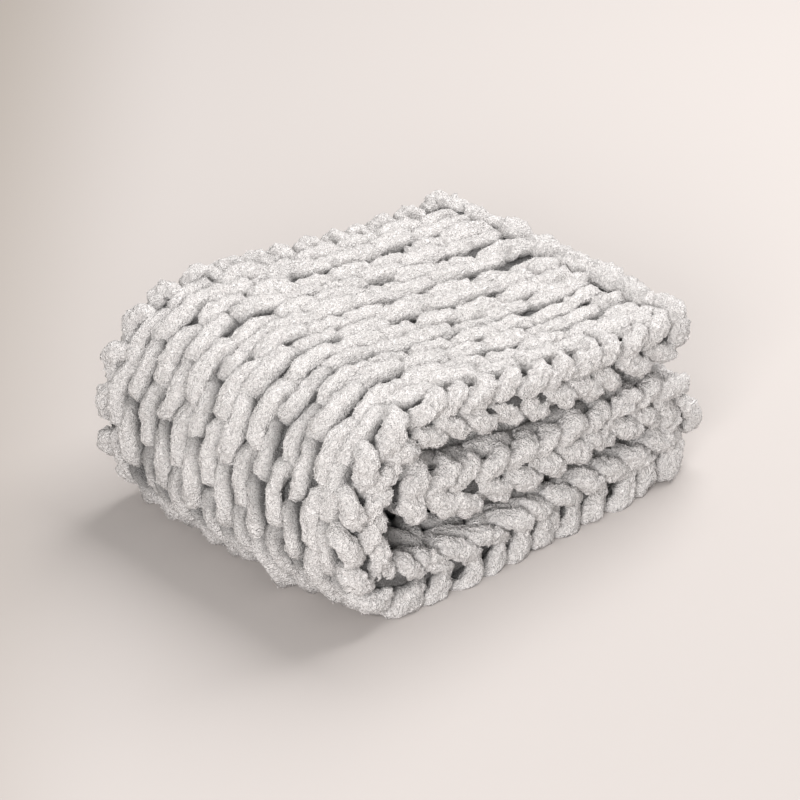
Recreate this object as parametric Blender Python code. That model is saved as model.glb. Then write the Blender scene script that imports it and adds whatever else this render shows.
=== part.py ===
"""A chunky hand-knit blanket that lies folded in three layers, in metres.

The sheet is one piece of knit. X follows its courses from the big left fold to the right, Y runs
from the front edge to the back edge, and Z is up from the surface that it lies on.
"""

import math

import bmesh
import bpy
import numpy as np

BLANKET_NAME = "knit_blanket"

# The knit
YARN = 0.025  # thickness of the plush yarn
SHEET = 2.2 * YARN  # thickness of the knit, from crest to crest
DEPTH = 0.358  # from the front edge to the back edge
COURSES = 7  # rows of stitches across the depth
WALES = 26  # stitches along the sheet, from its free end to its tucked end

# The raised stitches
GROOVE = 0.36 * YARN  # drop between two ridges of yarn
DIP = 0.24 * YARN  # drop of a ridge where one stitch meets the next
HOLE = 0.16 * YARN  # further drop inside the arc of a stitch
RISE = 0.17 * YARN  # how far an arc bows along the depth
RIB = 0.20 * YARN  # height of the upright legs on the inner side
BRAID = 0.16 * YARN  # height of the slanting bumps along the two edges
EDGE = 0.44 * SHEET  # how far the sheet rounds off at its front and back edges
INNER_EASE = 0.06 * YARN  # the legs on the inner side lie this much lower than the arcs outside

# How finely the sheet is divided
STEPS_A_WALE = 4
OUTER_STEPS_A_COURSE = 4
INNER_STEPS_A_COURSE = 2
EDGE_ANGLES = (55.0, 0.0, -55.0)  # degrees round an edge, from the outer side to the inner side

# The middle of the sheet along its folds, from the free end on top to the tucked end inside: place
# in X and Z at the front edge, then at the back edge, how far it bulges outwards halfway between them,
# and its share of the sheet's usual thickness
FOLD_PATH = (
    # name, front X, front Z, back X, back Z, bulge, share
    ("free end", 0.207, 0.1560, 0.233, 0.1500, 0.000, 1.0),
    ("top layer, right", 0.154, 0.1520, 0.160, 0.1470, 0.000, 1.0),
    ("top layer, middle", 0.040, 0.1610, 0.040, 0.1590, 0.000, 1.0),
    ("top layer, left", -0.070, 0.1790, -0.070, 0.1750, 0.000, 1.0),
    ("crown of the left fold", -0.139, 0.1870, -0.132, 0.1780, 0.000, 1.0),
    ("shoulder of the left fold", -0.181, 0.1640, -0.178, 0.1560, 0.000, 1.0),
    ("side of the left fold", -0.199, 0.1080, -0.202, 0.1040, 0.003, 1.0),
    ("foot of the left fold", -0.178, 0.0520, -0.186, 0.0480, 0.012, 1.0),
    ("bottom layer, left", -0.127, 0.0275, -0.131, 0.0275, 0.000, 1.0),
    ("bottom layer, middle", 0.020, 0.0275, 0.020, 0.0275, 0.000, 1.0),
    ("bottom layer, right", 0.168, 0.0275, 0.170, 0.0275, 0.000, 1.0),
    ("foot of the right fold", 0.197, 0.0370, 0.197, 0.0360, 0.000, 1.0),
    ("side of the right fold", 0.208, 0.0600, 0.207, 0.0580, 0.000, 1.0),
    ("crown of the right fold", 0.197, 0.0830, 0.197, 0.0795, 0.000, 1.0),
    ("middle layer, right", 0.170, 0.0920, 0.172, 0.0880, 0.000, 1.0),
    ("middle layer, middle", 0.020, 0.0945, 0.020, 0.0905, 0.000, 1.0),
    ("middle layer, left", -0.080, 0.1060, -0.080, 0.1010, 0.000, 1.14),
    ("tucked end", -0.148, 0.1240, -0.148, 0.1130, 0.000, 1.14),
)
END_ROUND = 0.020  # length over which the sheet rounds off at its two ends
END_THIN = 0.72  # share of its thickness that is left at the very end
FINE = 24  # points read between two rows of the path before it is divided evenly
PRESSED = 0.013  # the knit is pressed flat where its underside lies lower than this


def smooth_path(x_column, z_column, stations):
    """Evenly spaced rows of X, Z, bulge and share, on a smooth curve through the path's rows."""
    knots = np.array([(row[x_column], row[z_column], row[-2], row[-1]) for row in FOLD_PATH])
    gaps = np.linalg.norm(np.diff(knots[:, :2], axis=0), axis=1) ** 0.5
    times = np.concatenate([[0.0], np.cumsum(gaps)])
    slopes = np.gradient(knots, times, axis=0)
    fine = []
    for i in range(len(knots) - 1):
        span = times[i + 1] - times[i]
        t = np.linspace(0.0, 1.0, FINE, endpoint=False)[:, None]
        fine.append(
            knots[i] * (2 * t**3 - 3 * t**2 + 1)
            + slopes[i] * span * (t**3 - 2 * t**2 + t)
            + knots[i + 1] * (3 * t**2 - 2 * t**3)
            + slopes[i + 1] * span * (t**3 - t**2)
        )
    fine = np.concatenate(fine + [knots[-1:]])
    lengths = np.linalg.norm(np.diff(fine[:, :2], axis=0), axis=1)
    run = np.concatenate([[0.0], np.cumsum(lengths)])
    even = np.linspace(0.0, run[-1], stations)
    return np.stack([np.interp(even, run, fine[:, k]) for k in range(4)], axis=1)


def outer_stitch(wale, course):
    """Height above the middle of the sheet, and shift in Y, of the arcs on the outer side."""
    ridge = abs(math.sin(2 * math.pi * course))
    upper = course % 1.0 > 0.5
    swing = math.cos(2 * math.pi * (wale if upper else wale + 0.5))
    height = SHEET / 2 - GROOVE * (1 - ridge) - DIP * ridge * (1 - swing) / 2
    between_arcs = max(0.0, math.cos(2 * math.pi * (course - 0.5)))
    height -= HOLE * between_arcs * (1 + math.cos(2 * math.pi * wale)) / 2
    shift = RISE * ridge * swing * (1 if upper else -1)
    return height, shift


def inner_stitch(wale):
    """Depth below the middle of the sheet of the upright legs on the inner side."""
    return SHEET / 2 - INNER_EASE - RIB * (1 + math.cos(4 * math.pi * wale)) / 2


def edge_points(wale, side):
    """Points round one edge of the sheet, from its outer to its inner side; side is 1 at the back."""
    half = DEPTH / 2 - EDGE - BRAID
    points = []
    for degrees in EDGE_ANGLES:
        slant = math.copysign(0.25, degrees) if degrees else 0.0
        out = EDGE + BRAID * math.cos(2 * math.pi * (wale + slant))
        angle = math.radians(degrees)
        points.append((side * (half + out * math.cos(angle)), EDGE * math.sin(angle)))
    return points


def section(wale):
    """One closed row of points round the sheet at this stitch: place in Y, and height off its middle."""
    half = DEPTH / 2 - EDGE - BRAID
    points = []
    outer_steps = COURSES * OUTER_STEPS_A_COURSE
    for k in range(outer_steps + 1):
        height, shift = outer_stitch(wale, k / OUTER_STEPS_A_COURSE)
        points.append((-half + 2 * half * k / outer_steps + shift, height))
    points += edge_points(wale, 1)
    inner_steps = COURSES * INNER_STEPS_A_COURSE
    for k in range(inner_steps + 1):
        points.append((half - 2 * half * k / inner_steps, -inner_stitch(wale)))
    return points + edge_points(wale, -1)[::-1]


def end_share(distance):
    """Share of the sheet's thickness at this distance from one of its ends."""
    if distance >= END_ROUND:
        return 1.0
    return END_THIN + (1 - END_THIN) * math.sqrt(1 - (1 - distance / END_ROUND) ** 2)


def next_row(bm, row):
    """Draws a new row of points out of this one, and gives it in the same order."""
    edges = [bm.edges.get((a, b)) for a, b in zip(row, row[1:] + row[:1])]
    made = bmesh.ops.extrude_edge_only(bm, edges=edges)["geom"]
    new = {item for item in made if isinstance(item, bmesh.types.BMVert)}
    return [next(e.other_vert(v) for e in v.link_edges if e.other_vert(v) in new) for v in row]


def rested(z):
    """Height of a point once the sheet's own weight has pressed it on the surface."""
    if z >= 2 * PRESSED:
        return z
    return max(0.0, 2 * (z - PRESSED))


def place_row(row, wale, share, places, ways):
    """Puts a row at its station on the folds: places and ways are those of the front and back edges."""
    for vert, (y, height) in zip(row, section(wale)):
        back_share = y / DEPTH + 0.5
        place = places[0] * (1 - back_share) + places[1] * back_share
        way = ways[0] * (1 - back_share) + ways[1] * back_share
        way = way / math.hypot(way[0], way[1])
        off = height * share * place[3] + place[2] * (1 - (2 * y / DEPTH) ** 2)
        vert.co = (place[0] + way[1] * off, y, rested(place[1] - way[0] * off))


def blanket_mesh():
    """The folded sheet, as rows of points drawn along its folds and closed at its two ends."""
    stations = WALES * STEPS_A_WALE + 1
    front = smooth_path(1, 2, stations)
    back = smooth_path(3, 4, stations)
    front_way = np.gradient(front, axis=0)
    back_way = np.gradient(back, axis=0)
    step = np.hypot(front_way[:, 0], front_way[:, 1]).mean()

    bm = bmesh.new()
    points_round = len(section(0.0))
    row = bmesh.ops.create_circle(bm, cap_ends=True, segments=points_round, radius=DEPTH)["verts"]
    for station in range(stations):
        if station:
            row = next_row(bm, row)
        share = end_share(step * min(station, stations - 1 - station))
        places = (front[station], back[station])
        ways = (front_way[station], back_way[station])
        place_row(row, station / STEPS_A_WALE, share, places, ways)
    last_edges = [bm.edges.get((a, b)) for a, b in zip(row, row[1:] + row[:1])]
    bmesh.ops.edgeloop_fill(bm, edges=last_edges)
    bmesh.ops.recalc_face_normals(bm, faces=bm.faces)
    centre(bm)
    mesh = bpy.data.meshes.new(BLANKET_NAME)
    bm.to_mesh(mesh)
    bm.free()
    mesh.shade_smooth()
    return mesh


def centre(bm):
    """Moves the sheet so that its outline is centred on the origin in X and Y."""
    low_x = min(v.co.x for v in bm.verts)
    high_x = max(v.co.x for v in bm.verts)
    low_y = min(v.co.y for v in bm.verts)
    high_y = max(v.co.y for v in bm.verts)
    middle = (-(low_x + high_x) / 2, -(low_y + high_y) / 2, 0.0)
    bmesh.ops.translate(bm, verts=bm.verts, vec=middle)


def yarn_material():
    """Off-white plush chenille yarn."""
    material = bpy.data.materials.new("off_white_chenille")
    material.use_nodes = True
    shader = material.node_tree.nodes["Principled BSDF"]
    shader.inputs["Base Color"].default_value = (0.76, 0.74, 0.71, 1.0)
    shader.inputs["Roughness"].default_value = 0.95
    shader.inputs["Metallic"].default_value = 0.0
    return material


for old in list(bpy.data.objects):
    bpy.data.objects.remove(old, do_unlink=True)

blanket_parts = bpy.data.collections.new("chunky_knit_blanket")
bpy.context.scene.collection.children.link(blanket_parts)
blanket = bpy.data.objects.new(BLANKET_NAME, blanket_mesh())
blanket.data.materials.append(yarn_material())
blanket_parts.objects.link(blanket)
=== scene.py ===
"""A chunky hand-knit blanket of plush chenille yarn, folded in three layers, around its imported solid."""

import math

import bmesh
import bpy
import numpy as np
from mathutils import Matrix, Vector


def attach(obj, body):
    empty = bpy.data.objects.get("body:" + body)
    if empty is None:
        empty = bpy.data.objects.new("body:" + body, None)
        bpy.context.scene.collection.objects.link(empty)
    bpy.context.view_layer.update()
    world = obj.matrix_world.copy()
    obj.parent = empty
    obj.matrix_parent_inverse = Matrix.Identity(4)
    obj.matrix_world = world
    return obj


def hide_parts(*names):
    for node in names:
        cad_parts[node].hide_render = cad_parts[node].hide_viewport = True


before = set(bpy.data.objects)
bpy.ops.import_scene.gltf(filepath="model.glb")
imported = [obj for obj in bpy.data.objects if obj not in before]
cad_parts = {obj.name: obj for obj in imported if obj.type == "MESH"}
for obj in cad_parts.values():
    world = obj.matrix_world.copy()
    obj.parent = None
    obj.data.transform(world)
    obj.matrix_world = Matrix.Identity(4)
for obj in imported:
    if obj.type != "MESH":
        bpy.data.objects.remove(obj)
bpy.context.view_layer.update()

# The courses of the knit
# Each course is one length of plush chenille yarn, about 25 mm thick, looped by hand through the
# course before it. The purl side is out: its round arcs show, and the upright legs lie inside.
YARN = 0.025  # thickness of the plush yarn
DEPTH = 0.358  # from the front edge of the sheet to its back edge
COURSES = 7  # rows of stitches across the depth
WALES = 26  # stitches along the sheet, from its free end to its tucked end
CHAIN_WIDTH = 0.0282  # what the chain of the front edge, or of the back edge, takes of the depth
HALF = DEPTH / 2 - CHAIN_WIDTH  # from the middle of the depth to the first or the last course
COURSE = 2 * HALF / COURSES  # from one course to the next
PILE = 0.0015  # how far the plush stands out past the tube of the yarn

LOOP = 0.75 * COURSE  # from the middle of a course's yarn to the top of its arcs
SWAY = 0.0175  # how far a loop widens past an even wave
LIFT = 0.0148  # how far the arcs lie outside the middle of the sheet, and the legs inside it
PLUMP = 0.94  # thickness of the yarn in the free arcs, as a share of YARN
PINCHED = 0.84  # and where it passes through the next loop
FLATNESS = 1.8  # how long an arc stays level before it dives
REACH_OVER = 0.22  # how far round its bend an arc stays on the outer side
STRAIGHTNESS = 1.0  # how little an arc bows along the depth
BOUND_LOOP = 0.05  # share of LOOP that is left where an edge chain binds the first or last course
BOUND_RISE = 0.55  # share of LIFT by which the tops of those bound loops lie nearer the middle
COURSE_END = 0.25  # stitches between an end of the sheet and the end of a course's yarn
LEVEL_END = 0.10  # a course lies in the middle of the sheet up to this many stitches from its ends
LEVEL_FADE = 0.60  # and comes to its full height over this many more
DRIFT = 0.0028  # how unevenly a hand lays the yarn along and across the sheet
HEIGHT_DRIFT = 0.0022  # and in height
THICK_DRIFT = 0.09  # how unevenly thick the yarn is, as a share

SIDES = 16  # of the tube of a yarn
STEPS_A_TURN = 29  # rings of the tube in one stitch, where it shows
HIDDEN_STEPS_A_TURN = 19  # and where it doesn't
DIVE_RINGS = 0.018  # how far the rings crowd towards the places where the yarn dives, in stitches
SEEN = ((0.0, 12.4), (16.6, 21.0))  # stitches from the free end: top layer and left fold, right fold
NAP_FADE = 0.004  # the plush stands on the side of the yarn that faces out, and fades over this
FLAT_PLUSH = 0.004  # and there is none lower than this above the floor
FULL_NAP = 0.5  # the tube is divided once more where the plush is at least this dense
SAME_POINT = 1e-6  # points nearer than this are one
OPEN_LIGHT = 0.014  # how much higher in the knit yarn counts as where light reaches it all the same, so that less painted depth shade falls on it
OPEN_FOLD = (18.7, 1.5)  # the stitch on the right fold where it does, and how many it fades over
OPEN_END = 0.5  # how many stitches it fades over at the free end

# The middle of the sheet along its folds, from the free end on top to the tucked end inside: place
# in X and Z at the front edge, then at the back edge, how far it bulges outwards halfway between them,
# and its share of the sheet's usual thickness
FOLD_PATH = (
    # name, front X, front Z, back X, back Z, bulge, share
    ("free end", 0.207, 0.1560, 0.233, 0.1500, 0.000, 1.0),
    ("top layer, right", 0.154, 0.1520, 0.160, 0.1470, 0.000, 1.0),
    ("top layer, middle", 0.040, 0.1610, 0.040, 0.1590, 0.000, 1.0),
    ("top layer, left", -0.070, 0.1790, -0.070, 0.1750, 0.000, 1.0),
    ("crown of the left fold", -0.139, 0.1870, -0.132, 0.1780, 0.000, 1.0),
    ("shoulder of the left fold", -0.181, 0.1640, -0.178, 0.1560, 0.000, 1.0),
    ("side of the left fold", -0.199, 0.1080, -0.202, 0.1040, 0.003, 1.0),
    ("foot of the left fold", -0.178, 0.0520, -0.186, 0.0480, 0.012, 1.0),
    ("bottom layer, left", -0.127, 0.0275, -0.131, 0.0275, 0.000, 1.0),
    ("bottom layer, middle", 0.020, 0.0275, 0.020, 0.0275, 0.000, 1.0),
    ("bottom layer, right", 0.168, 0.0275, 0.170, 0.0275, 0.000, 1.0),
    ("foot of the right fold", 0.197, 0.0370, 0.197, 0.0360, 0.000, 1.0),
    ("side of the right fold", 0.208, 0.0600, 0.207, 0.0580, 0.000, 1.0),
    ("crown of the right fold", 0.197, 0.0830, 0.197, 0.0795, 0.000, 1.0),
    ("middle layer, right", 0.170, 0.0920, 0.172, 0.0880, 0.000, 1.0),
    ("middle layer, middle", 0.020, 0.0945, 0.020, 0.0905, 0.000, 1.0),
    ("middle layer, left", -0.080, 0.1060, -0.080, 0.1010, 0.000, 1.14),
    ("tucked end", -0.148, 0.1240, -0.148, 0.1130, 0.000, 1.14),
)
CENTRE_X = -0.0017  # moves the folds so that their outline is centred on the frame's origin
FINE = 24  # points read between two rows of the path before it is divided evenly
STATIONS_A_WALE = 20  # rows in one stitch of the even path
PRESSED = 0.013  # the yarn is pressed flat where its underside lies lower than this


def smooth_path(x_column, z_column, stations):
    """Evenly spaced rows of X, Z, bulge and share, on a smooth curve through the path's rows."""
    knots = np.array([(row[x_column], row[z_column], row[-2], row[-1]) for row in FOLD_PATH])
    gaps = np.linalg.norm(np.diff(knots[:, :2], axis=0), axis=1) ** 0.5
    times = np.concatenate([[0.0], np.cumsum(gaps)])
    slopes = np.gradient(knots, times, axis=0)
    fine = []
    for i in range(len(knots) - 1):
        span = times[i + 1] - times[i]
        t = np.linspace(0.0, 1.0, FINE, endpoint=False)[:, None]
        fine.append(
            knots[i] * (2 * t**3 - 3 * t**2 + 1)
            + slopes[i] * span * (t**3 - 2 * t**2 + t)
            + knots[i + 1] * (3 * t**2 - 2 * t**3)
            + slopes[i + 1] * span * (t**3 - t**2)
        )
    fine = np.concatenate(fine + [knots[-1:]])
    lengths = np.linalg.norm(np.diff(fine[:, :2], axis=0), axis=1)
    run = np.concatenate([[0.0], np.cumsum(lengths)])
    even = np.linspace(0.0, run[-1], stations)
    return np.stack([np.interp(even, run, fine[:, k]) for k in range(4)], axis=1)


stations = WALES * STATIONS_A_WALE + 1
station_wales = np.linspace(0.0, WALES, stations)
front_path = smooth_path(1, 2, stations)
back_path = smooth_path(3, 4, stations)
front_way = np.gradient(front_path, axis=0)
back_way = np.gradient(back_path, axis=0)
front_steps = np.hypot(np.diff(front_path[:, 0]), np.diff(front_path[:, 1]))
PITCH = front_steps.sum() / WALES  # length of one stitch along the folds


def along_folds(wale, y, front, back):
    """Mixes a table of the front edge with that of the back edge, at these stitches and places in Y."""
    back_share = y / DEPTH + 0.5
    columns = []
    for k in range(4):
        at_front = np.interp(wale, station_wales, front[:, k])
        at_back = np.interp(wale, station_wales, back[:, k])
        columns.append(at_front * (1 - back_share) + at_back * back_share)
    return columns


def outward(wale, y):
    """The direction, in X and Z, that points out of the sheet on its purl side."""
    way_x, way_z, _, _ = along_folds(wale, y, front_way, back_way)
    length = np.hypot(way_x, way_z)
    return way_z / length, -way_x / length


def folded(wale, y, height):
    """Points of the folded sheet: stitches from the free end, place in Y, height off its middle."""
    x, z, bulge, share = along_folds(wale, y, front_path, back_path)
    out_x, out_z = outward(wale, y)
    off = height * share + bulge * (1 - (2 * y / DEPTH) ** 2)
    return np.stack([x + CENTRE_X + out_x * off, y + 0 * x, z + out_z * off], axis=1)


def drift(rng, amount, turns):
    """A smooth random wander along a yarn, with a new value at each half stitch."""
    first = math.floor(turns.min() * 2)
    values = rng.normal(0.0, amount, math.ceil(turns.max() * 2) - first + 3)
    at = turns * 2 - first
    i = at.astype(int)
    f = at - i
    f = f * f * (3 - 2 * f)
    return values[i] * (1 - f) + values[i + 1] * f


def yarn_tube(name, points, radii, rise, outside=None, open_by=0.0):
    """A round length of yarn through these points. rise gives how high each point stands in the knit.

    The plush is left off the rings that aren't outside. rise is also stored on the mesh, and the material
    paints the yarn darker as shade the lower it lies. open_by takes some of that painted shade off the
    rings that light reaches although they lie low, on a tight fold or at an end.
    """
    curve = bpy.data.curves.new(name + "_line", "CURVE")
    curve.dimensions = "3D"
    curve.bevel_depth = 1.0
    curve.bevel_resolution = (SIDES - 4) // 2
    curve.use_fill_caps = True
    spline = curve.splines.new("POLY")
    spline.points.add(len(points) - 1)
    spline.points.foreach_set("co", np.column_stack([points, np.ones(len(points))]).ravel())
    spline.points.foreach_set("radius", radii)
    line = bpy.data.objects.new(name + "_line", curve)
    bpy.context.scene.collection.objects.link(line)
    graph = bpy.context.evaluated_depsgraph_get()
    mesh = bpy.data.meshes.new_from_object(line.evaluated_get(graph))
    bpy.data.objects.remove(line)
    bpy.data.curves.remove(curve)

    rings = len(points)
    places = np.empty(len(mesh.vertices) * 3)
    mesh.vertices.foreach_get("co", places)
    places = places.reshape(-1, 3)
    sides = len(places) // rings
    around = places[: rings * sides].reshape(rings, sides, 3)
    stands = np.zeros(len(places))
    stands[: rings * sides] = rise(around, points).ravel()
    low = places[:, 2] < 2 * PRESSED
    places[low, 2] = np.maximum(0.0, 2 * (places[low, 2] - PRESSED))
    shows = np.clip((stands + NAP_FADE) / (2 * NAP_FADE), 0.0, 1.0)
    if outside is not None:
        shows[: rings * sides] *= np.repeat(outside, sides)
    shows[places[:, 2] < FLAT_PLUSH] = 0.0
    mesh.vertices.foreach_set("co", places.ravel())
    mesh.attributes.new("nap", "FLOAT", "POINT").data.foreach_set("value", shows)
    # Stored as rise: the material paints the yarn darker as shade where this is low
    lightness = np.abs(stands)
    lightness[: rings * sides] += np.repeat(np.full(rings, open_by), sides)
    mesh.attributes.new("rise", "FLOAT", "POINT").data.foreach_set("value", lightness)

    bm = bmesh.new()
    bm.from_mesh(mesh)
    bmesh.ops.remove_doubles(bm, verts=bm.verts, dist=SAME_POINT)
    bmesh.ops.recalc_face_normals(bm, faces=bm.faces)
    showing = bm.verts.layers.float["nap"]
    fine = [edge for edge in bm.edges if min(vert[showing] for vert in edge.verts) > FULL_NAP]
    bmesh.ops.subdivide_edges(bm, edges=fine, cuts=1, use_grid_fill=True)
    bm.to_mesh(mesh)
    bm.free()
    mesh.shade_smooth()
    tube = bpy.data.objects.new(name, mesh)
    bpy.context.scene.collection.objects.link(tube)
    return tube


def chenille():
    """Off-white plush yarn: pale tufts with pits between them that are painted darker as shade, and a soft
    sheen.
    """
    material = bpy.data.materials.new("off_white_chenille")
    material.use_nodes = True
    nodes = material.node_tree.nodes
    links = material.node_tree.links
    shader = nodes["Principled BSDF"]
    shader.inputs["Roughness"].default_value = 0.95
    shader.inputs["Specular IOR Level"].default_value = 0.15
    shader.inputs["Sheen Weight"].default_value = 0.35
    shader.inputs["Sheen Roughness"].default_value = 0.5
    place = nodes.new("ShaderNodeTexCoord")

    # The pile stands in uneven knobs about 4 mm wide, with fine hairs on them and pits between them.
    # The knobs and hairs give the bump; the colour takes a random tone from the hairs and painted shade in
    # the pits.
    warp = nodes.new("ShaderNodeTexNoise")
    warp.inputs["Scale"].default_value = 330.0
    warp.inputs["Detail"].default_value = 3.0
    links.new(place.outputs["Object"], warp.inputs["Vector"])
    bent = nodes.new("ShaderNodeVectorMath")
    bent.operation = "MULTIPLY_ADD"
    bent.inputs[1].default_value = (0.0060, 0.0060, 0.0060)
    links.new(warp.outputs["Color"], bent.inputs[0])
    links.new(place.outputs["Object"], bent.inputs[2])

    knobs = nodes.new("ShaderNodeTexVoronoi")
    knobs.feature = "SMOOTH_F1"
    knobs.inputs["Scale"].default_value = 250.0
    knobs.inputs["Smoothness"].default_value = 0.45
    links.new(bent.outputs["Vector"], knobs.inputs["Vector"])
    hairs = nodes.new("ShaderNodeTexNoise")
    hairs.inputs["Scale"].default_value = 760.0
    hairs.inputs["Detail"].default_value = 1.0
    hairs.inputs["Roughness"].default_value = 0.6
    links.new(place.outputs["Object"], hairs.inputs["Vector"])
    pits = nodes.new("ShaderNodeMath")
    pits.operation = "MULTIPLY_ADD"
    pits.inputs[1].default_value = 1.2
    links.new(hairs.outputs["Fac"], pits.inputs[0])
    links.new(knobs.outputs["Distance"], pits.inputs[2])
    raised = nodes.new("ShaderNodeMapRange")
    raised.inputs["From Min"].default_value = 1.45
    raised.inputs["From Max"].default_value = 0.65
    links.new(pits.outputs[0], raised.inputs["Value"])
    # The colour: a random tone from the hairs, and painted shade that darkens the pits between the knobs
    tone_and_pit_shade = nodes.new("ShaderNodeMath")
    tone_and_pit_shade.operation = "MULTIPLY_ADD"
    tone_and_pit_shade.inputs[1].default_value = 0.45
    links.new(knobs.outputs["Distance"], tone_and_pit_shade.inputs[0])
    links.new(hairs.outputs["Fac"], tone_and_pit_shade.inputs[2])
    pale = nodes.new("ShaderNodeMapRange")
    pale.inputs["From Min"].default_value = 1.00
    pale.inputs["From Max"].default_value = 0.52
    links.new(tone_and_pit_shade.outputs[0], pale.inputs["Value"])

    # Painted light and shade: the tufts are painted paler towards their tips, where the pile catches the
    # light, and the yarn is painted darker as shade the deeper it lies in the knit
    tip = nodes.new("ShaderNodeAttribute")
    tip.attribute_name = "tip"
    painted_tip_light = nodes.new("ShaderNodeMath")
    painted_tip_light.operation = "MULTIPLY_ADD"
    painted_tip_light.inputs[1].default_value = 0.4
    links.new(tip.outputs["Fac"], painted_tip_light.inputs[0])
    links.new(pale.outputs["Result"], painted_tip_light.inputs[2])

    colours = nodes.new("ShaderNodeValToRGB")
    colours.color_ramp.elements[0].position = 0.05
    colours.color_ramp.elements[0].color = (0.50, 0.478, 0.471, 1.0)
    colours.color_ramp.elements[1].position = 0.85
    colours.color_ramp.elements[1].color = (0.99, 0.966, 0.953, 1.0)
    between = colours.color_ramp.elements.new(0.50)
    between.color = (0.885, 0.860, 0.847, 1.0)
    links.new(painted_tip_light.outputs[0], colours.inputs["Fac"])

    # Painted depth shade: the lower the rise, the darker the colour, down to a tenth of it in the grooves
    # and holes
    rise = nodes.new("ShaderNodeAttribute")
    rise.attribute_name = "rise"
    depth = nodes.new("ShaderNodeMapRange")
    depth.interpolation_type = "SMOOTHSTEP"
    depth.inputs["From Min"].default_value = 0.008
    depth.inputs["From Max"].default_value = 0.0205
    depth.inputs["To Min"].default_value = 0.10
    depth.inputs["To Max"].default_value = 1.0
    links.new(rise.outputs["Fac"], depth.inputs["Value"])
    shaded = nodes.new("ShaderNodeVectorMath")
    shaded.operation = "SCALE"
    links.new(colours.outputs["Color"], shaded.inputs[0])
    links.new(depth.outputs["Result"], shaded.inputs["Scale"])
    links.new(shaded.outputs["Vector"], shader.inputs["Base Color"])

    bump = nodes.new("ShaderNodeBump")
    bump.inputs["Strength"].default_value = 1.0
    bump.inputs["Distance"].default_value = 0.0034
    links.new(raised.outputs["Result"], bump.inputs["Height"])
    links.new(bump.outputs["Normal"], shader.inputs["Normal"])
    return material


yarn_finish = chenille()
TUFT_LENGTH = 0.0017
TUFT_WIDTH = 0.0005  # radius at its foot
TUFTS_PER_M2 = 48000.0
TUFT_LEAN = 0.6  # radians at most, to either side
TUFT_TURN = 3.1  # radians at most round its own length, either way
TUFT_SIZES = (0.55, 1.25)  # the smallest and the largest, as shares of its length and width


def tuft_group(seed):
    """Geometry nodes that stand short tufts of pile on a yarn, thickest where its nap shows."""
    group = bpy.data.node_groups.new("pile", "GeometryNodeTree")
    group.interface.new_socket("Geometry", in_out="INPUT", socket_type="NodeSocketGeometry")
    group.interface.new_socket("Geometry", in_out="OUTPUT", socket_type="NodeSocketGeometry")
    nodes = group.nodes
    links = group.links
    start = nodes.new("NodeGroupInput")
    end = nodes.new("NodeGroupOutput")

    nap = nodes.new("GeometryNodeInputNamedAttribute")
    nap.data_type = "FLOAT"
    nap.inputs["Name"].default_value = "nap"
    density = nodes.new("ShaderNodeMath")
    density.operation = "MULTIPLY"
    density.inputs[1].default_value = TUFTS_PER_M2
    links.new(nap.outputs["Attribute"], density.inputs[0])
    scatter = nodes.new("GeometryNodeDistributePointsOnFaces")
    scatter.inputs["Seed"].default_value = seed
    links.new(start.outputs[0], scatter.inputs["Mesh"])
    links.new(density.outputs[0], scatter.inputs["Density"])

    tuft = nodes.new("GeometryNodeMeshCone")
    tuft.fill_type = "NONE"
    tuft.inputs["Vertices"].default_value = 3
    tuft.inputs["Side Segments"].default_value = 1
    tuft.inputs["Radius Top"].default_value = 0.0
    tuft.inputs["Radius Bottom"].default_value = TUFT_WIDTH
    tuft.inputs["Depth"].default_value = TUFT_LENGTH
    place = nodes.new("GeometryNodeInputPosition")
    split = nodes.new("ShaderNodeSeparateXYZ")
    links.new(place.outputs[0], split.inputs[0])
    share = nodes.new("ShaderNodeMath")
    share.operation = "DIVIDE"
    share.inputs[1].default_value = TUFT_LENGTH
    links.new(split.outputs["Z"], share.inputs[0])
    tip = nodes.new("GeometryNodeStoreNamedAttribute")
    tip.data_type = "FLOAT"
    tip.domain = "POINT"
    tip.inputs["Name"].default_value = "tip"
    links.new(tuft.outputs["Mesh"], tip.inputs["Geometry"])
    links.new(share.outputs[0], tip.inputs["Value"])

    lean = nodes.new("FunctionNodeRandomValue")
    lean.data_type = "FLOAT_VECTOR"
    lean.inputs["Min"].default_value = (-TUFT_LEAN, -TUFT_LEAN, -TUFT_TURN)
    lean.inputs["Max"].default_value = (TUFT_LEAN, TUFT_LEAN, TUFT_TURN)
    lean.inputs["Seed"].default_value = seed + 1
    turn = nodes.new("FunctionNodeRotateRotation")
    turn.rotation_space = "LOCAL"
    links.new(scatter.outputs["Rotation"], turn.inputs["Rotation"])
    links.new(lean.outputs["Value"], turn.inputs["Rotate By"])
    size = nodes.new("FunctionNodeRandomValue")
    size.data_type = "FLOAT"
    size.inputs[2].default_value = TUFT_SIZES[0]
    size.inputs[3].default_value = TUFT_SIZES[1]
    size.inputs["Seed"].default_value = seed + 2
    stand = nodes.new("GeometryNodeInstanceOnPoints")
    links.new(scatter.outputs["Points"], stand.inputs["Points"])
    links.new(tip.outputs["Geometry"], stand.inputs["Instance"])
    links.new(turn.outputs["Rotation"], stand.inputs["Rotation"])
    links.new(size.outputs[1], stand.inputs["Scale"])
    real = nodes.new("GeometryNodeRealizeInstances")
    links.new(stand.outputs["Instances"], real.inputs["Geometry"])
    cloth = nodes.new("GeometryNodeSetMaterial")
    cloth.inputs["Material"].default_value = yarn_finish
    links.new(real.outputs["Geometry"], cloth.inputs["Geometry"])
    join = nodes.new("GeometryNodeJoinGeometry")
    links.new(cloth.outputs["Geometry"], join.inputs["Geometry"])
    links.new(start.outputs[0], join.inputs["Geometry"])
    links.new(join.outputs["Geometry"], end.inputs[0])
    return group


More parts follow.
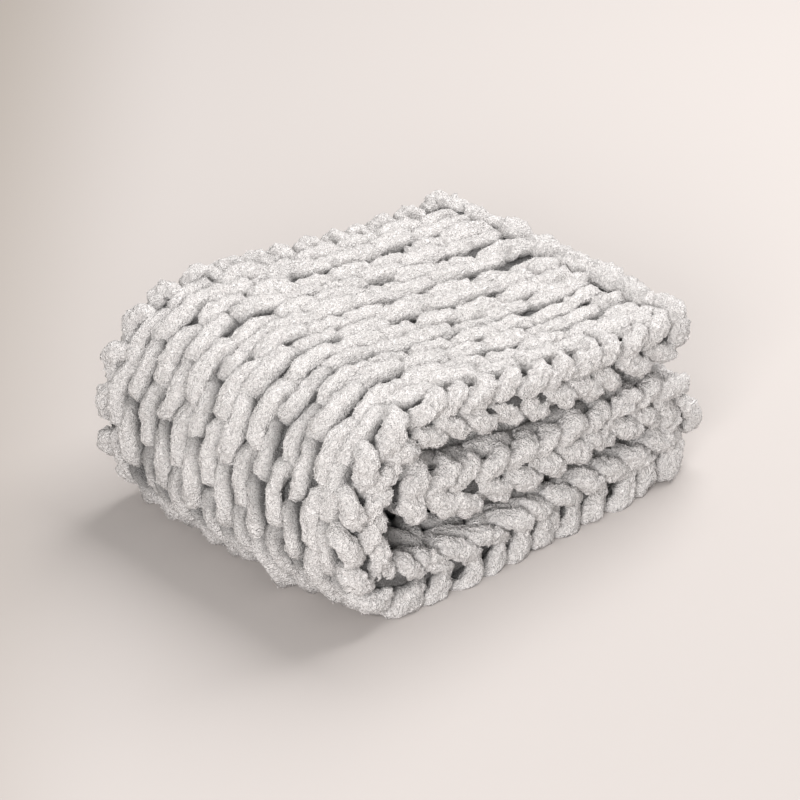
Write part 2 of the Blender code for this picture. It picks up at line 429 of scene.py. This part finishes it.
CLUMP_SIZE = 0.0064
CLUMP_HEIGHT = 0.0066
SWELL_SIZE = 0.011
SWELL_HEIGHT = 0.0085
clumps = bpy.data.textures.new("pile_clumps", "VORONOI")
clumps.noise_scale = CLUMP_SIZE
swells = bpy.data.textures.new("yarn_swells", "CLOUDS")
swells.noise_scale = SWELL_SIZE


def brush_up(tube, seed):
    """Gives a yarn its finish and its plush: uneven clumps of pile, and the tufts that stand on it."""
    tube.data.materials.append(yarn_finish)
    uneven = tube.modifiers.new("clumps", "DISPLACE")
    uneven.texture = clumps
    uneven.texture_coords = "LOCAL"
    uneven.strength = -CLUMP_HEIGHT
    uneven.mid_level = 0.45
    lumpy = tube.modifiers.new("swells", "DISPLACE")
    lumpy.texture = swells
    lumpy.texture_coords = "LOCAL"
    lumpy.strength = SWELL_HEIGHT
    lumpy.mid_level = 0.5
    soft = tube.modifiers.new("soft", "SMOOTH")
    soft.factor = 0.5
    soft.iterations = 1
    pile = tube.modifiers.new("pile", "NODES")
    pile.node_group = tuft_group(seed)
    graph = bpy.context.evaluated_depsgraph_get()
    mesh = bpy.data.meshes.new_from_object(tube.evaluated_get(graph))
    tube.modifiers.clear()
    tube.data = mesh
    for vert in mesh.vertices:
        vert.co.z = max(0.0, vert.co.z)
    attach(tube, "root")
    return tube


def height_off_middle(around, points, wales, heights):
    """How far each point of a yarn's rings stands off the middle of the sheet, on its purl side."""
    out_x, out_z = outward(wales, points[:, 1])
    off = around - points[:, None, :]
    return heights[:, None] + off[:, :, 0] * out_x[:, None] + off[:, :, 2] * out_z[:, None]


def seen(wales):
    """Whether these stitches lie where the blanket's outside can be seen."""
    return np.any([(wales > start) & (wales < end) for start, end in SEEN], axis=0)


def course_yarn(row):
    """The yarn of one course, as a wave of loops along the folds."""
    rng = np.random.default_rng(40 + row)
    last = WALES - COURSE_END
    fine = np.linspace(COURSE_END, last, int((last - COURSE_END) * STEPS_A_TURN))
    coarse = np.linspace(COURSE_END, last, int((last - COURSE_END) * HIDDEN_STEPS_A_TURN))
    if row:
        turns = np.sort(np.concatenate([fine[seen(fine)], coarse[~seen(coarse)]]))
    else:
        turns = fine
    turns = turns + DIVE_RINGS * np.sin(8 * math.pi * turns)
    angle = 2 * math.pi * turns
    up = np.tanh(STRAIGHTNESS * np.cos(angle)) / math.tanh(STRAIGHTNESS)
    reach = np.full(len(turns), LOOP)
    lift = LIFT * np.tanh(FLATNESS * (np.cos(2 * angle) + REACH_OVER)) / math.tanh(FLATNESS)
    bound = np.zeros(len(turns), bool)
    if row == 0:
        bound = up < 0
    if row == COURSES:
        bound = up > 0
    reach[bound] *= BOUND_LOOP
    lift[bound] = -LIFT * (1 - BOUND_RISE * np.abs(up[bound]))
    wales = turns + SWAY * np.sin(2 * angle) / PITCH + drift(rng, DRIFT, turns) / PITCH
    y = -HALF + row * COURSE + reach * up + drift(rng, DRIFT, turns)
    free = np.clip((np.minimum(wales, WALES - wales) - LEVEL_END) / LEVEL_FADE, 0.0, 1.0)
    heights = free * (lift + drift(rng, HEIGHT_DRIFT, turns))
    points = folded(wales, y, heights)
    arc = np.cos(2 * angle) * 0.5 + 0.5
    radii = YARN / 2 * (PINCHED + (PLUMP - PINCHED) * arc) * (1 + drift(rng, THICK_DRIFT, turns))
    radii -= PILE / 2

    # How high the yarn stands in the knit: it sets where the plush stands, and how dark the material
    # paints it as shade
    def rise(around, centres):
        across = height_off_middle(around, centres, wales, heights)
        return across if row else np.abs(across)

    outside = seen(turns) if row else None
    # Less painted depth shade on the right fold and at the free end, where light reaches the yarn although
    # it lies low
    on_fold = OPEN_LIGHT * np.exp(-(((wales - OPEN_FOLD[0]) / OPEN_FOLD[1]) ** 2))
    at_end = OPEN_LIGHT * np.exp(-((wales / OPEN_END) ** 2))
    yarn = yarn_tube(f"course_{row}", points, radii, rise, outside, on_fold + at_end)
    return brush_up(yarn, 100 * row)


course_yarns = [course_yarn(row) for row in range(COURSES + 1)]

# The chains of the front and back edges
# The first and the last course are closed with a chain of stitches, each drawn through the one
# before it, so that a braid of slanting legs runs along the front and the back of every layer.
CHAIN_PITCH = 0.033  # from one stitch of the chain to the next
LEG_THICKNESS = 0.88  # share of YARN
LEG_SHARES = {"front_chain": (1.0, 0.98), "back_chain": (0.90, 0.98)}  # of the height, out and inside
RIGHT_FOLD = (17.0, 0.86)  # from this stitch of the knit on, the outer legs lie lower by this share
FOOT = (11.0, 0.008)  # at this stitch of the knit, under the left fold, the chains are drawn in by this
INNER_RUN = 1.30  # the legs on the inner side slant less, over this much longer a run
INNER_SHIFT = 0.15  # how far that moves them on, in stitches of the chain for each whole run
STITCH_DRIFT = 0.07  # how unevenly the stitches of a chain are spaced, in stitches
LEG_DRIFT = 0.06  # how unevenly a leg runs, in stitches
LEG_THICK_DRIFT = 0.06  # how unevenly thick the stitches are, as a share
EDGE_RISE = 0.004  # the outer edge counts as high in the knit, for its plush and its painted depth shade, from this far inside the last course
CHAIN_STEPS = 26  # rings of the tube in one stitch of a chain
CHAIN_ENDS = 0.10  # stitches of the knit between the end of the sheet and the end of a chain
LEG_SHAPE = (
    # share of the leg, run in stitches, height off the middle, out past the last course, thickness
    (0.00, 0.30, 0.0015, -0.0010, 0.70),
    (0.15, 0.14, 0.0030, 0.0065, 0.80),
    (0.35, -0.12, 0.0080, 0.0115, 1.00),
    (0.55, -0.38, 0.0138, 0.0130, 1.06),
    (0.72, -0.58, 0.0182, 0.0118, 1.04),
    (0.84, -0.70, 0.0196, 0.0060, 0.94),
    (0.92, -0.74, 0.0150, -0.0040, 0.80),
    (1.00, -0.72, 0.0000, -0.0090, 0.74),
)
LEG_POINTS = 101  # a leg is read at this many points before its corners are rounded
LEG_ROUNDING = 7  # over this many points to either side


def leg_line(share):
    """Run, height, way out and thickness of a leg, with rounded corners, at these shares of it."""
    shape = np.array(LEG_SHAPE)
    fine = np.linspace(0.0, 1.0, LEG_POINTS)
    soft = np.hanning(2 * LEG_ROUNDING + 1)
    soft = soft / soft.sum()
    columns = []
    for k in range(1, 5):
        line = np.interp(fine, shape[:, 0], shape[:, k])
        line = np.pad(line, LEG_ROUNDING, mode="reflect", reflect_type="odd")
        columns.append(np.interp(share, fine, np.convolve(line, soft, mode="valid")))
    return columns


def chain_stitch(edge, side, stitch, rng):
    """One loop of a chain: two legs side by side that meet in a head under the next loop."""
    s = np.linspace(0.0, 1.0, CHAIN_STEPS)
    run, high, out, plump = leg_line(1 - np.abs(2 * s - 1))
    start = LEG_SHAPE[0][1]
    inner = start + (run - start) * INNER_RUN + INNER_SHIFT * (INNER_RUN - 1)
    run = np.where(s < 0.5, run, inner)
    spacing = rng.normal(0.0, STITCH_DRIFT)
    run = (stitch + 0.50 + spacing + run + drift(rng, LEG_DRIFT, s * 2)) * CHAIN_PITCH
    wales = np.clip(run / PITCH, CHAIN_ENDS, WALES - CHAIN_ENDS)
    outer_share, inner_share = LEG_SHARES[edge]
    if run.mean() > RIGHT_FOLD[0] * PITCH:
        outer_share *= RIGHT_FOLD[1]
    heights = np.where(s < 0.5, outer_share * high, -inner_share * high) + drift(rng, DRIFT / 2, s * 2)
    drawn_in = FOOT[1] * np.exp(-((wales - FOOT[0]) ** 2))
    y = side * (HALF + out - drawn_in + drift(rng, DRIFT / 2, s * 2))
    points = folded(wales, y, heights)
    radii = YARN / 2 * LEG_THICKNESS * plump * (1 + rng.normal(0.0, LEG_THICK_DRIFT)) - PILE / 2

    def rise(around, centres):
        across = height_off_middle(around, centres, wales, heights)
        return np.hypot(across, side * around[:, :, 1] - HALF + EDGE_RISE)

    outside = seen(wales) if side > 0 else None
    return yarn_tube(f"{edge}_{stitch}", points, radii, rise, outside)


def joined(name, tubes):
    """One object of these tubes."""
    with bpy.context.temp_override(
        active_object=tubes[0], object=tubes[0], selected_objects=tubes, selected_editable_objects=tubes
    ):
        bpy.ops.object.join()
    tubes[0].name = name
    return tubes[0]


for edge, side, seed in (("front_chain", -1, 7), ("back_chain", 1, 8)):
    rng = np.random.default_rng(seed)
    count = int(WALES * PITCH / CHAIN_PITCH)
    stitches = [chain_stitch(edge, side, stitch, rng) for stitch in range(1, count + 1)]
    brush_up(joined(edge, stitches), 1000 + seed)

# The borders of the two ends
# At the end of each course the yarn turns up to the next one. The turns lie over each other as two
# thick strands along the end of the sheet, one on each side of it.
BORDERS = (
    # name, stitches from the free end, height at the front, height at the back, thickness, seed
    ("free_border_outer", 0.17, 0.0175, 0.0050, 1.12, 21),
    ("free_border_inner", 0.20, -0.0110, -0.0110, 1.00, 22),
    ("tucked_border_outer", WALES - 0.30, 0.0150, 0.0150, 1.05, 23),
    ("tucked_border_inner", WALES - 0.32, -0.0120, -0.0120, 1.00, 24),
)
BORDER_STEP = 0.0034  # between two rings of a strand
CORNER_RUN = 0.024  # how far a strand's line goes on past the last course, to turn over the corner
CORNER_OUT = 0.009  # how far past the last course that takes it
CORNER_DROP = (1.3, 0.022)  # share of its height that it loses there, and over what run
TURN_ALONG = 0.0022  # how far each turn of the yarn swells along the sheet
TURN_OUT = 0.0018  # and off the sheet
TURN_THICK = 0.05  # and in thickness, as a share
STRAND_RISE = 0.004  # how much higher in the knit a strand counts as, because it lies free, which takes painted depth shade off it


def border(name, wale, front_height, back_height, thickness, seed):
    """One strand along an end of the sheet, with a swell at each turn of the yarn."""
    rng = np.random.default_rng(seed)
    reach = HALF + CORNER_RUN
    run = np.linspace(-reach, reach, int(2 * reach / BORDER_STEP))
    past = np.maximum(0.0, np.abs(run) - HALF)
    y = np.sign(run) * (np.minimum(np.abs(run), HALF) + CORNER_OUT * np.tanh(past / CORNER_OUT))
    turns = (run + HALF) / COURSE
    wave = np.cos(2 * math.pi * turns)
    wales = wale + (TURN_ALONG * wave + drift(rng, DRIFT / 2, turns)) / PITCH
    back_share = y / DEPTH + 0.5
    heights = front_height * (1 - back_share) + back_height * back_share
    heights *= 1 - CORNER_DROP[0] * np.minimum(1.0, past / CORNER_DROP[1]) ** 2
    heights += TURN_OUT * wave + drift(rng, DRIFT / 2, turns)
    points = folded(wales, y, heights)
    swell = 1 - TURN_THICK + TURN_THICK * wave
    radii = YARN / 2 * thickness * swell * (1 + drift(rng, THICK_DRIFT, turns)) - PILE / 2

    def rise(around, centres):
        across = height_off_middle(around, centres, wales, heights) + STRAND_RISE
        return np.hypot(across, np.maximum(0.0, np.abs(around[:, :, 1]) - HALF + EDGE_RISE))

    return brush_up(yarn_tube(name, points, radii, rise, None, OPEN_LIGHT), 1100 + seed)


end_borders = [border(*row) for row in BORDERS]

# The ground of the knit
# Between the arcs outside and the legs inside, the plush of the loops meets and closes the sheet.
# It is what shows at the bottom of the holes, and it is painted in the darkest depth shade. It ends under
# the chains and the borders.
GROUND = 0.008  # its thickness
GROUND_ROWS = 10  # across the depth
GROUND_COLUMNS = WALES * 4  # along the folds
GROUND_END = 0.3  # stitches between an end of the sheet and the end of the ground
GROUND_PAST = 0.004  # how far the ground reaches past the last course, under the chain


def ground_sheet():
    """A thin sheet along the folds, in the middle of the knit, painted dark as shade."""
    bm = bmesh.new()
    bmesh.ops.create_grid(bm, x_segments=GROUND_COLUMNS, y_segments=GROUND_ROWS, size=0.5)
    flat = np.array([v.co for v in bm.verts])
    wales = GROUND_END + (flat[:, 0] + 0.5) * (WALES - 2 * GROUND_END)
    y = flat[:, 1] * 2 * (HALF + GROUND_PAST)
    points = folded(wales, y, np.full(len(flat), GROUND / 2))
    for vert, point in zip(bm.verts, points):
        vert.co = point
    bmesh.ops.recalc_face_normals(bm, faces=bm.faces)
    bmesh.ops.solidify(bm, geom=bm.faces, thickness=GROUND)
    bmesh.ops.recalc_face_normals(bm, faces=bm.faces)
    mesh = bpy.data.meshes.new("knit_ground")
    bm.to_mesh(mesh)
    bm.free()
    # Its rise stays at zero, so the material paints the ground in the darkest depth shade
    mesh.attributes.new("rise", "FLOAT", "POINT")
    mesh.shade_smooth()
    sheet = bpy.data.objects.new("knit_ground", mesh)
    bpy.context.scene.collection.objects.link(sheet)
    sheet.data.materials.append(yarn_finish)
    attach(sheet, "root")
    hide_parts("knit_blanket")
    return sheet


ground = ground_sheet()

# The floor and the light
# A plain pale studio floor of matt paint, with painted shade that makes it a little warmer and darker
# towards the far left.
# A big soft light hangs high behind the blanket on the right, and a smaller one fills from the front left.
FLOOR_SIDE = 12.0
FAR_LEFT = (-0.73, 0.68, 0.0)  # the way in which the floor is painted darker, as shade
FADE = (0.22, 0.55)  # from where to where it does, measured that way from the middle of the blanket
PALE_PAINT = (0.478, 0.450, 0.434, 1.0)
WARM_PAINTED_SHADE = (0.330, 0.298, 0.266, 1.0)
LIT_SPOT = (0.0, 0.0, 0.1)  # both lights face the middle of the blanket


def floor():
    """A large plain floor under the blanket, in one pale paint with painted shade that fades it to a
    warmer, darker one.
    """
    bm = bmesh.new()
    bmesh.ops.create_grid(bm, x_segments=1, y_segments=1, size=FLOOR_SIDE / 2)
    mesh = bpy.data.meshes.new("floor")
    bm.to_mesh(mesh)
    bm.free()
    plane = bpy.data.objects.new("floor", mesh)
    bpy.context.scene.collection.objects.link(plane)
    material = bpy.data.materials.new("pale_floor")
    material.use_nodes = True
    shader = material.node_tree.nodes["Principled BSDF"]
    nodes = material.node_tree.nodes
    links = material.node_tree.links
    place = nodes.new("ShaderNodeTexCoord")
    across = nodes.new("ShaderNodeVectorMath")
    across.operation = "DOT_PRODUCT"
    across.inputs[1].default_value = FAR_LEFT
    links.new(place.outputs["Object"], across.inputs[0])
    fade = nodes.new("ShaderNodeMapRange")
    fade.interpolation_type = "SMOOTHSTEP"
    fade.inputs["From Min"].default_value = FADE[0]
    fade.inputs["From Max"].default_value = FADE[1]
    links.new(across.outputs["Value"], fade.inputs["Value"])
    paint = nodes.new("ShaderNodeValToRGB")
    paint.color_ramp.elements[0].color = PALE_PAINT
    paint.color_ramp.elements[1].color = WARM_PAINTED_SHADE
    links.new(fade.outputs["Result"], paint.inputs["Fac"])
    links.new(paint.outputs["Color"], shader.inputs["Base Color"])
    shader.inputs["Roughness"].default_value = 0.9
    shader.inputs["Specular IOR Level"].default_value = 0.1
    mesh.materials.append(material)


def soft_light(name, place, target, size, power, colour):
    """A square soft light at place that faces target, with its side in metres and power in watts."""
    lamp = bpy.data.lights.new(name, "AREA")
    lamp.shape = "SQUARE"
    lamp.size = size
    lamp.energy = power
    lamp.color = colour
    holder = bpy.data.objects.new(name, lamp)
    holder.location = place
    holder.rotation_euler = (Vector(target) - Vector(place)).to_track_quat("-Z", "Y").to_euler()
    bpy.context.scene.collection.objects.link(holder)


floor()
soft_light("key", (1.35, 0.1, 2.1), LIT_SPOT, 2.1, 85.0, (1.0, 0.978, 0.970))
soft_light("fill", (-2.2, -1.6, 1.3), LIT_SPOT, 1.2, 80.0, (1.0, 0.975, 0.965))
world = bpy.data.worlds.new("studio")
world.use_nodes = True
world.node_tree.nodes["Background"].inputs["Color"].default_value = (1.0, 0.975, 0.95, 1.0)
world.node_tree.nodes["Background"].inputs["Strength"].default_value = 0.45
bpy.context.scene.world = world
bpy.context.scene.view_settings.view_transform = "Standard"

# The camera
# It looks at the front left corner of the folded blanket from above, through a long lens. Its place
# and aim are those that lay the blanket's outline over the one in the photograph.
CAMERA_PLACE = Vector((-1.976, -2.081, 1.766))
CAMERA_AIM = Vector((-0.006, -0.007, 0.097))
LENS = 162.0

lens = bpy.data.cameras.new("camera")
lens.lens = LENS
lens.sensor_width = 36.0
lens.clip_end = 50.0
camera = bpy.data.objects.new("camera", lens)
camera.location = CAMERA_PLACE
camera.rotation_euler = (CAMERA_AIM - CAMERA_PLACE).to_track_quat("-Z", "Y").to_euler()
bpy.context.scene.collection.objects.link(camera)
bpy.context.scene.camera = camera
